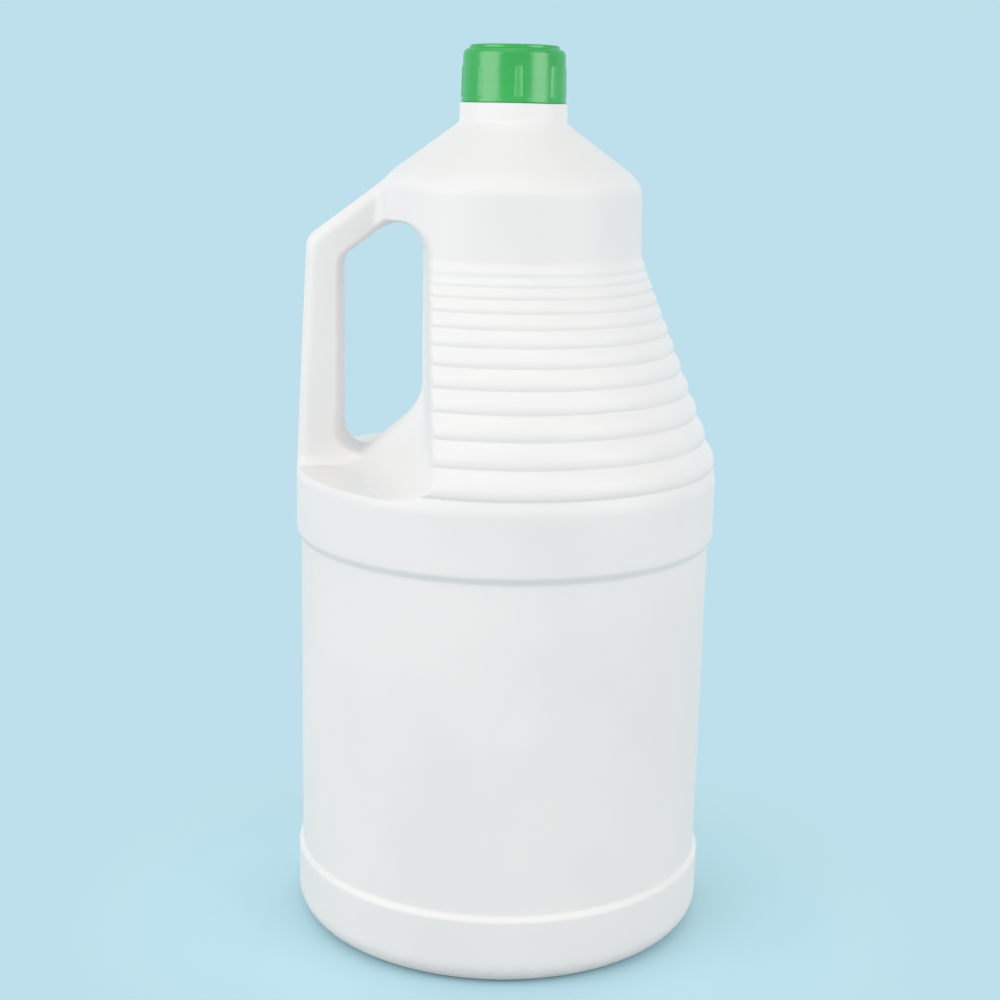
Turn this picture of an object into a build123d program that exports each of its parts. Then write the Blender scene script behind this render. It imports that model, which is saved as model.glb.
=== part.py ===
from build123d import *
from math import cos, pi, radians, sin, tan
import os

os.makedirs("parts", exist_ok=True)

# Driving dimensions in millimetres: +Z is up, z = 0 is the floor, the handle points to -X.

# Blow-moulded wall, and the hollow under the base with its pinch-off weld
wall = 1.2
push_up = 4.0
push_up_slope = 9.0
standing_ring_width = 23.2
weld_width = 1.6
weld_height = 0.8

# Foot, label panel and band
foot_radius = 85.2
foot_height = 28.1
foot_corner = 9.5
panel_radius = 83.6
panel_height = 135.6
panel_step = 1.6
band_radius = 85.5
band_height = 24.8
lip_height = 4.4
lip_setback = 1.4
lip_round = 3.5
edge_round = 1.4

# Ribbed shoulder, its ribs growing from the top down
rib_count = 11
rib_pitch_low = 10.7
rib_pitch_high = 3.7
rib_bulge = 0.14
rib_overhang = 1.2
rib_run_out = 5.2
groove_round = 0.6

# Upper cylinder and smooth shoulder
upper_radius_low = 52.4
upper_radius_high = 51.4
upper_height = 27.9
upper_round = 10.0
shoulder_angle = 36.7

# Neck collar, neck and its thread
collar_radius = 21.2
collar_height = 6.8
collar_round = 0.8
neck_radius = 17.4
neck_height = 14.9
neck_bore_radius = 15.2
neck_edge_round = 0.4
thread_pitch = 4.2
thread_turns = 1.25
thread_depth = 1.2
thread_root_width = 2.4
thread_crest_width = 1.2
thread_drop = 3.0
thread_bite = 0.3

# Handle: a hollow bar beside an eye for four fingers
eye_width = 32.2
eye_above_ledge = 5.4
eye_below_corner = 16.8
eye_arch_radius = 12.5
eye_corner = 6.0
bar_depth = 24.0
bar_thickness = 13.3
bar_foot_thickness = 17.8
bar_outer_setback = 0.7
bar_lean = 3.6
bar_edge_round = 4.8
bar_drop = 0.9
bar_slope = 37.7
bar_bury = 8.1

# Hand recess on both sides of the eye
recess_draft = 6.2
ledge_drop = 0.8
floor_slope = 39.9
floor_fall = 19.3
floor_rise = 18.0
floor_ridge_round = 60.0
floor_round = 8.0

# Screw cap and its liner
cap_radius = 20.2
cap_clearance = 0.3
cap_gap = 0.4
cap_plate = 2.0
cap_shoulder_round = 2.4
cap_shoulder_rise = 1.6
cap_rim_radius = 17.5
cap_rim_width = 2.2
cap_rim_height = 4.5
cap_rim_round = 0.8
cap_bead_height = 1.4
cap_bead_depth = 0.3
cap_bead_round = 0.25
grip_count = 8
grip_width = 2.9
grip_height = 0.5
grip_turn = 4.5
grip_below_plate = 0.4
grip_edge_round = 0.3
liner_thickness = 0.6
liner_clearance = 0.4

# Levels and radii that follow from the sizes above
standing_ring_inner_radius = foot_radius - standing_ring_width
panel_top = foot_height + panel_height
band_top = panel_top + band_height
rib_bottom = band_top + lip_height
rib_step = (rib_pitch_low - rib_pitch_high) / (rib_count - 1)
rib_pitches = [rib_pitch_low - rib_step * i for i in range(rib_count)]
rib_top = rib_bottom + sum(rib_pitches)
upper_bottom = rib_top + rib_run_out
shoulder_bottom = upper_bottom + upper_height
shoulder_top = shoulder_bottom + (upper_radius_high - collar_radius) * tan(radians(shoulder_angle))
collar_top = shoulder_top + collar_height
neck_top = collar_top + neck_height
thread_start = neck_top - thread_drop - thread_turns * thread_pitch
ledge_level = rib_bottom - ledge_drop
eye_bottom = ledge_level + eye_above_ledge
eye_top = shoulder_bottom - eye_below_corner
bar_outer_foot = band_radius - bar_outer_setback
bar_outer_top = bar_outer_foot - bar_lean
eye_far = bar_outer_foot - bar_foot_thickness
eye_near = eye_far - eye_width
cap_bore_radius = neck_radius + thread_depth + cap_clearance
cap_bottom = collar_top + cap_gap
plate_bottom = neck_top + liner_thickness
plate_top = plate_bottom + cap_plate
reach = foot_radius + band_radius


def inset_corners(corners, amount):
    """Corners of a closed outline after each side has moved to its left by the amount."""
    points = [Vector(*corner) for corner in corners]
    directions = [(b - a).normalized() for a, b in zip(points, points[1:] + points[:1])]
    moved = []
    for i, point in enumerate(points):
        before, after = directions[i - 1], directions[i]
        left_before, left_after = Vector(-before.Y, before.X), Vector(-after.Y, after.X)
        moved.append(point + (left_before + left_after) * (amount / (1 + before.dot(after))))
    return moved


def rib_arcs(low, high):
    """Convex ribs from the lowest groove to the highest one, and the grooves between them."""
    span = high - low
    grooves = [low + span * (sum(rib_pitches[:i]) / sum(rib_pitches)) for i in range(rib_count + 1)]
    outward = Vector(span.Y, -span.X).normalized()
    arcs = []
    for a, b in zip(grooves, grooves[1:]):
        crest = (a + b) / 2 + outward * (rib_bulge * (b - a).length)
        arcs.append(ThreePointArc(a, crest, b))
    return arcs, grooves


def turned_form(inset):
    """Round form of the can as a solid, its walls moved inwards by the inset."""
    corners = [
        (0, push_up),
        (standing_ring_inner_radius - push_up_slope, push_up),
        (standing_ring_inner_radius, 0),
        (foot_radius, 0),
        (foot_radius, foot_height),
        (panel_radius, foot_height + panel_step),
        (panel_radius, panel_top - panel_step),
        (band_radius, panel_top),
        (band_radius, band_top),
        (band_radius - lip_setback, rib_bottom),
        (upper_radius_low + rib_overhang, rib_top),
        (upper_radius_low, upper_bottom),
        (upper_radius_high, shoulder_bottom),
        (collar_radius, shoulder_top),
        (0, shoulder_top + collar_radius * tan(radians(shoulder_angle))),
    ]
    moved = inset_corners(corners, inset)
    start = Vector(0, moved[0].Y)
    lower = [start, *moved[1:10]]
    low_groove, high_groove, upper_start, upper_end, cone_end = moved[9:14]
    if inset == 0:
        neck = [
            cone_end,
            Vector(collar_radius, collar_top),
            Vector(neck_radius, collar_top),
            Vector(neck_radius, neck_top),
            Vector(0, neck_top),
        ]
        neck_rounds = [upper_round, collar_round, collar_round, collar_round, neck_edge_round]
    else:
        cone = cone_end - upper_end
        mouth = upper_end + cone * ((upper_end.X - neck_bore_radius) / -cone.X)
        neck = [mouth, Vector(neck_bore_radius, neck_top + wall), Vector(0, neck_top + wall)]
        neck_rounds = [upper_round - inset, upper_round, 0]
    arcs, grooves = rib_arcs(low_groove, high_groove)
    run_out = (high_groove + upper_start) / 2 + Vector(rib_bulge, rib_bulge) * rib_run_out
    lower_rounds = [push_up, edge_round, foot_corner - inset, *[edge_round] * 4, lip_round]
    edges = [
        FilletPolyline(*lower, radius=lower_rounds),
        *arcs,
        ThreePointArc(high_groove, run_out, upper_start),
        FilletPolyline(upper_start, upper_end, *neck, radius=neck_rounds),
        Line(neck[-1], start),
    ]
    profile = make_face(Curve() + edges)
    groove_corners = [
        vertex
        for vertex in profile.vertices()
        if any((Vector(vertex) - groove).length < groove_round / 10 for groove in grooves)
    ]
    return revolve(Plane.XZ * fillet(groove_corners, groove_round), Axis.Z)


def eye_side_face(growth):
    """Outline of the space beside the eye: near wall and arch, open towards the handle."""
    near, arch = growth - eye_near, eye_arch_radius + growth
    spring = eye_top - eye_arch_radius
    turn = radians(45)
    crown = (near - arch * (1 - cos(turn)), spring + arch * sin(turn))
    edges = [
        Line((near, panel_top), (near, spring)),
        ThreePointArc((near, spring), crown, (near - arch, spring + arch)),
        Polyline((near - arch, spring + arch), (-reach, spring + arch), (-reach, panel_top)),
        Line((-reach, panel_top), (near, panel_top)),
    ]
    return make_face(Curve() + edges)


def recess_floor(inset):
    """Sloping floor of the hand recess, with a rounded ridge under the eye."""
    slope = radians(floor_slope)
    uphill = Vector(cos(slope), 0, sin(slope))
    normal = Vector(-sin(slope), 0, cos(slope))
    ridge = Vector(-eye_near, 0, eye_bottom + floor_rise) - normal * inset
    fall = reach * tan(radians(floor_fall)) * cos(slope)
    roof = [(-reach, -fall), (0, 0), (reach, -fall)]
    edges = [
        FilletPolyline(*roof, radius=[floor_ridge_round]),
        Polyline((reach, -fall), (reach, -reach), (-reach, -reach), (-reach, -fall)),
    ]
    across = Plane(origin=ridge, x_dir=(0, 1, 0), z_dir=uphill)
    return extrude(across * make_face(Curve() + edges), amount=reach, both=True)


def shared_edges(faces, others):
    """Edges that a face of one group shares with a face of the other."""
    other_edges = [edge for face in others for edge in face.edges()]
    return [e for face in faces for e in face.edges() if any(e.is_same(o) for o in other_edges)]


def hand_recess(inset):
    """Space cut from the round form on both sides of the eye, grown by the inset."""
    outer_growth = inset + reach * tan(radians(recess_draft))
    parting_face = Plane.XZ * eye_side_face(inset)
    outer_face = Plane.XZ.offset(reach) * eye_side_face(outer_growth)
    half = loft([parting_face, outer_face], ruled=True)
    below_ledge = Pos(0, 0, ledge_level - inset) * Box(
        4 * reach, 4 * reach, reach, align=(Align.CENTER, Align.CENTER, Align.MAX)
    )
    space = half + mirror(half, Plane.XZ) - recess_floor(inset) - below_ledge
    facing = [(face, face.normal_at(face.center())) for face in space.faces()]
    walls = [face for face, normal in facing if normal.X > 0.9]
    floors = [face for face, normal in facing if normal.X > 0.3 and normal.Z < -0.3]
    ledges = [face for face, normal in facing if normal.Z < -0.99]
    corners = shared_edges(floors, walls + ledges) + shared_edges(walls, ledges)
    return fillet(corners, floor_round + inset)


def handle_bar(inset):
    """Bar of the handle, from the shoulder out and down to the band, shrunk by the inset."""
    slope = tan(radians(bar_slope))
    root = upper_radius_high - bar_bury
    rise = bar_thickness / cos(radians(bar_slope))

    def top_level(radius):
        return shoulder_bottom - bar_drop - (radius - upper_radius_high) * slope

    corners = [
        (-root, top_level(root) - bar_drop),
        (-bar_outer_top, top_level(bar_outer_top)),
        (-bar_outer_foot, band_top),
        (-root, band_top),
        (-root, eye_bottom),
        (-eye_far, eye_bottom),
        (-eye_far, top_level(eye_far) - rise),
        (-root, top_level(root) - rise),
    ]
    moved = inset_corners(corners, inset)
    outer, inner = eye_corner - inset, eye_corner + inset
    outline = FilletPolyline(*moved, radius=[0, outer, 0, 0, 0, inner, inner, 0], close=True)
    bar = extrude(Plane.XZ * make_face(outline), amount=bar_depth / 2 - inset, both=True)
    sides = bar.edges().group_by(Axis.Y)
    shown = [
        edge
        for edge in sides[0] + sides[-1]
        if edge.center().X < moved[0].X - inset - wall and edge.center().Z > moved[3].Y + wall
    ]
    return fillet(shown, bar_edge_round - inset)


def can_form(inset):
    """Whole form of the can as a solid, its surface moved inwards by the inset."""
    return turned_form(inset) - hand_recess(inset) + handle_bar(inset)


def thread_ridge(root_radius, depth, start):
    """One helical ridge, outward for a positive depth and inward for a negative one."""
    inside = root_radius - (thread_bite if depth > 0 else -thread_bite)
    crest = root_radius + depth
    section = [
        (inside, -thread_root_width / 2),
        (crest, -thread_crest_width / 2),
        (crest, thread_crest_width / 2),
        (inside, thread_root_width / 2),
    ]
    path = Helix(pitch=thread_pitch, height=thread_turns * thread_pitch, radius=root_radius)
    ridge = sweep(Plane.XZ * make_face(Polyline(*section, close=True)), path=path, is_frenet=True)
    return Pos(0, 0, start) * ridge


def bottle_body():
    """The blown can: a shell of even wall with a threaded neck and a welded base."""
    weld_length = 2 * (standing_ring_inner_radius - push_up_slope)
    weld = Pos(0, 0, push_up - weld_height) * Box(
        weld_length, weld_width, weld_height + wall, align=(Align.CENTER, Align.CENTER, Align.MIN)
    )
    shell = can_form(0) - can_form(wall)
    return shell + weld + thread_ridge(neck_radius, thread_depth, thread_start)


def grip_ribs():
    """Upright ribs round the cap, rounded at the top."""
    foot = cap_bottom + cap_bead_height
    height = plate_bottom - grip_below_plate - foot
    face = Pos(0, foot) * Rectangle(grip_width, height, align=(Align.CENTER, Align.MIN))
    face = fillet(face.vertices().group_by(Axis.Y)[-1], 0.49 * grip_width)
    rib = extrude(Plane.XZ.offset(cap_bore_radius + cap_clearance) * face,
                  amount=cap_radius + grip_height - cap_bore_radius - cap_clearance)
    rib = fillet(rib.edges().group_by(Axis.Y)[0], grip_edge_round)
    return [Rot(0, 0, grip_turn + 360 / grip_count * i) * rib for i in range(grip_count)]


def screw_cap():
    """The cap: a threaded cup with a bead below, grip ribs and a raised rim on top."""
    shoulder_level = plate_top + cap_shoulder_rise
    bead_radius = cap_radius + cap_bead_depth
    rim_top = plate_top + cap_rim_height
    rim_inner = cap_rim_radius - cap_rim_width
    outline = FilletPolyline(
        (0, plate_bottom),
        (cap_bore_radius, plate_bottom),
        (cap_bore_radius, cap_bottom),
        (bead_radius, cap_bottom),
        (bead_radius, cap_bottom + cap_bead_height),
        (cap_radius, cap_bottom + cap_bead_height),
        (cap_radius, shoulder_level),
        (cap_rim_radius, shoulder_level),
        (cap_rim_radius, rim_top),
        (rim_inner, rim_top),
        (rim_inner, plate_top),
        (0, plate_top),
        radius=[
            cap_clearance, 0, cap_bead_round, cap_bead_round, 0, cap_shoulder_round,
            0, cap_rim_round, cap_rim_round, cap_rim_round,
        ],
    )
    profile = make_face(Curve() + [outline, Line((0, plate_top), (0, plate_bottom))])
    cup = revolve(Plane.XZ * profile, Axis.Z)
    for rib in grip_ribs():
        cup += rib
    return cup + thread_ridge(cap_bore_radius, -thread_depth, thread_start - thread_pitch / 2)


def cap_liner():
    """Sealing disc that lies loose in the cap, on the neck's rim."""
    radius = cap_bore_radius - liner_clearance
    return Pos(0, 0, neck_top) * Cylinder(
        radius, liner_thickness, align=(Align.CENTER, Align.CENTER, Align.MIN)
    )


pieces = {"bottle_body": bottle_body(), "screw_cap": screw_cap(), "cap_liner": cap_liner()}
for name, piece in pieces.items():
    export_step(piece, f"parts/{name}.step")
    print(name, "volume in millilitres", round(piece.volume / 1000, 1))
lift_clear = neck_top - cap_bottom
print("turns to lift the cap clear", round(lift_clear / thread_pitch, 2))
print("rise per radian in mm", round(thread_pitch / (2 * pi), 4))
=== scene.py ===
# %% [markdown]
# A five litre can, blow-moulded in one piece from white polyethylene, with a green screw cap.
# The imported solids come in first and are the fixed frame: every piece below is worked out in the
# same place and at the same size, so nothing has to be fitted by eye.
# %% Load the frame
import math

import bpy
import numpy as np
from mathutils import Matrix, Vector


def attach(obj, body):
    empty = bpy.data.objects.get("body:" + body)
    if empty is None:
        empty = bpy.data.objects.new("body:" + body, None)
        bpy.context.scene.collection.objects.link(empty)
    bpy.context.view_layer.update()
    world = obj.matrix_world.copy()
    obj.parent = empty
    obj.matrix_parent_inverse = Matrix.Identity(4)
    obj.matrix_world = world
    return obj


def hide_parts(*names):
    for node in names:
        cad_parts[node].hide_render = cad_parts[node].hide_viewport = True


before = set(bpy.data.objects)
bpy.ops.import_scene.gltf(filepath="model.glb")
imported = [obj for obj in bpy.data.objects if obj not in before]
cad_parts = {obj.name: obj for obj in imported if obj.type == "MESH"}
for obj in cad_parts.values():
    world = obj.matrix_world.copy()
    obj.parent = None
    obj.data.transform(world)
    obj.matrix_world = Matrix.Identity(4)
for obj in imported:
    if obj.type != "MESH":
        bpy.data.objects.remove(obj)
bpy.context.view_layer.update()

# %% [markdown]
# The camera stands where the photograph was taken: level with the collar of the neck, looking down by
# about thirteen degrees and tipped over by about one. A camera could be aimed with a constraint, but
# a matrix from three axes holds the small tip as well.
# %% Camera
CAMERA_PLACE = Vector((-0.00213, -0.68084, 0.32994))
CAMERA_PITCH = math.radians(12.843)
CAMERA_ROLL = math.radians(1.186)
CAMERA_LENS, CAMERA_SENSOR = 60.79, 36.0


def placed(name, data):
    """A new object that holds the data, linked into the scene."""
    made = bpy.data.objects.new(name, data)
    bpy.context.scene.collection.objects.link(made)
    return made


def camera_axes(pitch, roll):
    """Right, up and backward axes: level axes tipped down by the pitch, then turned by the roll."""
    level_right = Vector((1, 0, 0))
    ahead = Vector((0, math.cos(pitch), -math.sin(pitch)))
    level_up = Vector((0, math.sin(pitch), math.cos(pitch)))
    right = level_right * math.cos(roll) + level_up * math.sin(roll)
    up = level_up * math.cos(roll) - level_right * math.sin(roll)
    return right, up, -ahead


camera = placed("camera", bpy.data.cameras.new("camera"))
camera.data.lens, camera.data.sensor_width = CAMERA_LENS, CAMERA_SENSOR
turned = Matrix(camera_axes(CAMERA_PITCH, CAMERA_ROLL)).transposed()
camera.matrix_world = Matrix.Translation(CAMERA_PLACE) @ turned.to_4x4()
bpy.context.scene.camera = camera
print("camera stands at", tuple(CAMERA_PLACE))

# %% [markdown]
# Two forms that meet on a blow-moulded can never meet in a sharp edge, because the hot skin can't
# follow one. A bevel would need clean edges to work on, so the rounding is put into the formulas: the
# smaller or larger of two fields is taken with the change-over eased, or a line with corners is
# averaged over a short span. Sizes in the formulas are in millimetres and become metres when the mesh
# is made.
# %% Easing helpers
MM = 0.001


def smooth_min(a, b, ease):
    """The smaller of a and b, less a parabola ease/4 deep where they are closer than ease."""
    near = np.maximum(ease - np.abs(a - b), 0) / ease
    return np.minimum(a, b) - near * near * ease / 4


def smooth_max(a, b, ease):
    """The larger of a and b, with the same easing as smooth_min."""
    return -smooth_min(-a, -b, ease)


def smooth_step(t):
    """0 below 0, 1 above 1, and the cubic 3tt - 2ttt between them."""
    t = np.clip(t, 0, 1)
    return t * t * (3 - 2 * t)


def averaged(formula, at, half, count=13):
    """Mean of a formula over places from half below to half above each one, which rounds its corners."""
    offsets = np.asarray(half)[..., None] * np.linspace(-1, 1, count)
    return formula(np.asarray(at)[..., None] + offsets).mean(-1)


print("two fields of 1, eased by 0.4, meet at", smooth_min(1.0, 1.0, 0.4))

# %% [markdown]
# Seen without its handle the can is a turned form: a foot, a label panel set back a little, a band,
# eleven ribs that shrink upwards, a plain cylinder and a cone. A lathe or a screw modifier could turn
# a drawn profile, but here the radius is a function of height, so that the hand recess can be cut
# into the same function later. Two tables give it: pairs of height and radius, and pairs of height
# and the half span that the radius is averaged over there.
# %% Radius of the turned form
FOOT_RADIUS, FOOT_CORNER, PANEL_RADIUS, BAND_RADIUS = 85.2, 9.5, 83.6, 85.5
RIB_COUNT = 11
RIB_BOTTOM, RIB_TOP, RUN_OUT_TOP = 192.9, 271.2, 275.2
RIB_PITCH_LOW, RIB_PITCH_HIGH = 10.7, 3.7
RIB_BULGE, RIB_SKEW = 0.185, 0.84
SIDE_PROFILE = np.array([
    (0, FOOT_RADIUS), (27.8, FOOT_RADIUS), (29.2, PANEL_RADIUS), (162.1, PANEL_RADIUS),
    (163.7, BAND_RADIUS), (188.5, BAND_RADIUS), (RIB_BOTTOM, 84.1), (RIB_TOP, 53.6),
    (RUN_OUT_TOP, 52.4), (305.2, 51.4), (342.4, 0.0),
])
SIDE_EASES = np.array([
    (0, 0.5), (160, 1.2), (170, 1.6), (185, 1.8), (190, 1.8), (192.5, 0.3),
    (272, 0.3), (277, 1.2), (297, 1.0), (301, 4.2), (311, 4.2), (316, 0.8),
])

rib_pitches = np.linspace(RIB_PITCH_LOW, RIB_PITCH_HIGH, RIB_COUNT)
rib_share = np.concatenate([[0], np.cumsum(rib_pitches)]) / rib_pitches.sum()
groove_z = RIB_BOTTOM + (RIB_TOP - RIB_BOTTOM) * rib_share
rib_edges = np.append(groove_z, RUN_OUT_TOP)


def sharp_radius(z):
    """Straight runs between the heights of the profile, and a bulge on each rib.

    With the share t of the way from a groove up to the next one and s, a power of t, the bulge is
    4s(1 - s) times a part of the rib's height. The power puts its crest below the middle.
    """
    rib = np.clip(np.searchsorted(rib_edges, z) - 1, 0, RIB_COUNT)
    tall = np.diff(rib_edges)[rib]
    s = np.clip((z - rib_edges[rib]) / tall, 0, 1) ** RIB_SKEW
    return np.interp(z, *SIDE_PROFILE.T) + RIB_BULGE * tall * 4 * s * (1 - s)


def side_radius(z):
    """The sharp radius averaged over a short span of height, which rounds every corner in it."""
    return averaged(sharp_radius, z, np.interp(z, *SIDE_EASES.T))


print("grooves at", np.round(groove_z, 1))

# %% [markdown]
# On the handle's side a hand recess is pressed into the shoulder: a near wall behind the fingers, an
# arch over them, a floor that slopes out and falls away to both sides, and a flat ledge on top of the
# band. Cutting it with a boolean would leave sharp edges and long thin faces. Each of these faces can
# be written as a radius instead. The floor and the ledge come first. The ledge is so flat that its
# radius changes fast with height, so the fold between the two is eased in height and then solved for
# the radius. Where a face turns away, a least value keeps the divisor from nought.
# %% Floor and ledge of the hand recess
EYE_NEAR, FLOOR_TOP = 34.8, 215.5
FLOOR_SLOPE = math.tan(math.radians(39.9))
LEDGE_LEVEL, LEDGE_REACH, LEDGE_RUN = 190.2, 84.8, 22.0
FOLD_EASE = 6.5
BLIND = 0.05


def low_radius(across, z):
    """Radius of the floor and the ledge together, which meet in an eased fold.

    Both are heights that fall in a straight line with the radius. Where they differ by less than the
    ease, the height is their mean, plus a quarter of the ease, plus their difference squared over four
    eases. That is solved for the radius.
    """
    steep, flat = FLOOR_SLOPE * across, 1 / LEDGE_RUN
    floor, ledge = FLOOR_TOP + EYE_NEAR * FLOOR_SLOPE, LEDGE_LEVEL + LEDGE_REACH * flat
    apart, turning = floor - ledge, np.maximum(steep - flat, BLIND)
    square = turning**2 / (4 * FOLD_EASE)
    linear = (steep + flat) / 2 + apart * turning / (2 * FOLD_EASE)
    constant = (floor + ledge) / 2 + apart**2 / (4 * FOLD_EASE) + FOLD_EASE / 4 - z
    under = np.maximum(linear**2 - 4 * square * constant, 0)
    fold = (linear - np.sqrt(under)) / (2 * square)
    starts, ends = (apart - FOLD_EASE) / turning, (apart + FOLD_EASE) / turning
    radius = np.where(z > floor - steep * starts, (floor - z) / np.maximum(steep, BLIND), fold)
    return np.where(z < ledge - flat * ends, (ledge - z) / flat, radius)


print("floor of the recess at radius", round(float(low_radius(1.0, 205.0)), 1), "mm, 205 mm up")

# %% [markdown]
# The near wall leans back to both sides, so that the mould can open, and bends over into the arch.
# Above the arch a ceiling closes the recess. With the floor and the ledge these are three radii, and
# the largest of them is the recess.
# %% Radius of the hand recess
EYE_TOP, ARCH = 288.4, 12.5
DRAFT, FLOOR_FALL = math.tan(math.radians(6.2)), math.tan(math.radians(19.3))
CEILING_RUN, CEILING_DRAFT = 8.0, 0.3
FLOOR_EASE, ARCH_EASE, RIDGE_EASE = 9.0, 3.0, 0.10
BESIDE_MOST = 80.0


def recess_sides(turn):
    """Sine eased at the ridge, cosine, and the draft that the recess has gained at this turn."""
    aside = np.sqrt(np.sin(turn) ** 2 + RIDGE_EASE**2) - RIDGE_EASE
    toward = np.cos(turn)
    beside = EYE_NEAR * aside / np.maximum(toward + DRAFT * aside, BLIND)
    return aside, toward, DRAFT * np.minimum(beside, BESIDE_MOST)


def recess_radius(turn, z):
    """The largest of near wall with arch, ceiling, and floor with ledge, as radii at this turn."""
    aside, toward, growth = recess_sides(turn)
    arch = ARCH + growth
    rise = np.clip(z - (EYE_TOP - ARCH), 0, arch)
    near = EYE_NEAR - growth + arch - np.sqrt(arch**2 - rise**2)
    wall = near / np.maximum(toward, BLIND)
    ceiling = EYE_NEAR + ARCH + (z - EYE_TOP - CEILING_DRAFT * growth) * CEILING_RUN
    across = np.maximum(toward + FLOOR_FALL / FLOOR_SLOPE * aside, BLIND)
    low = low_radius(across, z)
    return smooth_max(smooth_max(wall, ceiling, ARCH_EASE), low, FLOOR_EASE)


print("near wall of the recess at radius", round(float(recess_radius(0.0, 250.0)), 1), "mm")

# %% [markdown]
# The skin is the smaller of the turned form and the recess, and the easing between them rounds the
# cut ends of the ribs. The inside of the wall is the same formula moved inwards. On the cone the move
# is along the radius and not square to the wall, so it has to be larger there.
# %% Radius of the skin
WALL = 1.2
CONE_LEVELS, CONE_INSETS = [300, 312], [1.0, 1.7]
RIB_END_EASE, RIB_END_LOW, RIB_END_BEND = 3.4, 190.0, 0.1


def skin_radius(turn, z, inset):
    """The smaller of the turned form and the recess, moved inwards by the inset."""
    form = side_radius(z) - inset * np.interp(z, CONE_LEVELS, CONE_INSETS)
    return smooth_min(form, recess_radius(turn, z) - inset, RIB_END_EASE)


def rib_end_turn(z):
    """Turn at which the recess leaves the turned form: where both have the same radius."""
    z = np.clip(z, RIB_END_LOW, EYE_TOP - 1)
    form = side_radius(z)
    fall = FLOOR_FALL / FLOOR_SLOPE
    by_wall = math.atan(DRAFT) + np.arccos(EYE_NEAR / (form * math.hypot(1, DRAFT)))
    foot = (EYE_NEAR - (z - FLOOR_TOP) / FLOOR_SLOPE) / (form * math.hypot(1, fall))
    by_floor = math.atan(fall) + np.arccos(np.clip(foot, -1, 1))
    return smooth_min(by_wall, by_floor, RIB_END_BEND)


print("ribs end at", np.round(np.degrees(rib_end_turn(np.array([195.0, 230.0, 270.0]))), 1), "degrees")

# %% [markdown]
# Under the can is a shallow hollow inside a flat standing ring. Above the skin come the collar and
# the rim of the neck. These are plain turned profiles, drawn as a few corners that are then rounded.
# A bevel modifier would round them all alike, and here each corner has its own size.
# %% Profiles of the base and the neck
PUSH_UP, PUSH_UP_EDGE, RING_INNER, BASE_EASE = 4.0, 53.0, 62.0, 2.0
NECK_RADIUS, NECK_BORE, NECK_TOP = 17.4, 15.2, 349.41
COLLAR_RADIUS, COLLAR_TOP = 21.2, 334.51
COLLAR_CORNERS = [(22.6, 326.05), (COLLAR_RADIUS, 327.05), (COLLAR_RADIUS, COLLAR_TOP),
                  (NECK_RADIUS, COLLAR_TOP), (NECK_RADIUS, 337.0)]
COLLAR_EASES = [0.9, 0.8, 0.8]
RIM_CORNERS = [(NECK_RADIUS, 348.5), (NECK_RADIUS, NECK_TOP), (NECK_BORE, NECK_TOP),
               (NECK_BORE, 331.0), (18.0, 328.6)]
RIM_EASES = [0.5, 0.5, 2.0]


def base_height(radius):
    """Flat hollow, short slope and flat standing ring, averaged over a few millimetres."""
    def sharp(r):
        return np.interp(np.abs(r), [PUSH_UP_EDGE, RING_INNER], [PUSH_UP, 0])

    return averaged(sharp, radius, BASE_EASE)


def eased_corners(corners, eases, steps=6):
    """A polyline whose corners are parabolas that start and end at the ease from each corner."""
    corners = np.array(corners, float)
    share = np.linspace(0, 1, steps)[:, None]
    points = [corners[:1]]
    for before, corner, after, ease in zip(corners, corners[1:], corners[2:], eases):
        start = corner + (before - corner) / np.linalg.norm(before - corner) * ease
        end = corner + (after - corner) / np.linalg.norm(after - corner) * ease
        points.append((1 - share) ** 2 * start + 2 * share * (1 - share) * corner + share**2 * end)
    return np.concatenate([*points, corners[-1:]])


collar_rows, rim_rows = eased_corners(COLLAR_CORNERS, COLLAR_EASES), eased_corners(RIM_CORNERS, RIM_EASES)
print("rows on the collar", len(collar_rows), "and on the rim", len(rim_rows))

# %% [markdown]
# The rows of the grid run from the middle of the base, up the outside, over the rim of the neck and
# down the inside to the base again, so the wall is closed. They are close together where the form
# turns sharply and far apart on the straight panel. A subdivision surface would do this evenly and
# waste most of its faces on the panel. Each entry of the tables is a first height, a last height and
# the number of rows.
# %% Rows of the grid
BASE_RADII = [5, 14, 26, 38, 47, 50, 51.5, 53, 54.5, 57, 59.5, 61, 62.5, 64, 67, 71, 75.7]
FOOT_ROWS, ROWS_PER_RIB = 13, 11
SIDE_ROWS = [
    (10.5, 26, 4), (26.6, 31.2, 10), (33, 160, 14), (160.8, 165.2, 10), (167, 185, 6), (186, 189.9, 9),
    (190, 192.2, 32), (192.3, 193.6, 8), (RIB_TOP, 279, 9), (281, 285.5, 4), (286, 292.2, 22),
    (293, 299, 5), (300, 312, 14), (314, 325.4, 7),
]
INNER_ROWS = [(12, 160, 10), (162, 187, 8), (188, 193, 8), (195, 285, 16), (286, 292, 6), (295, 325.4, 9)]
THREAD_ROWS = [(337.6, 348.2, 32)]


def heights(table):
    """Evenly spaced heights for each entry of a table, one after the other."""
    return np.concatenate([np.linspace(*entry) for entry in table])


def rib_rows(count):
    """Heights within each rib, closer together at its two grooves."""
    t = (1 - np.cos(np.pi * np.arange(count) / count)) / 2
    return (groove_z[:-1, None] + np.diff(groove_z)[:, None] * t).ravel()


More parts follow.
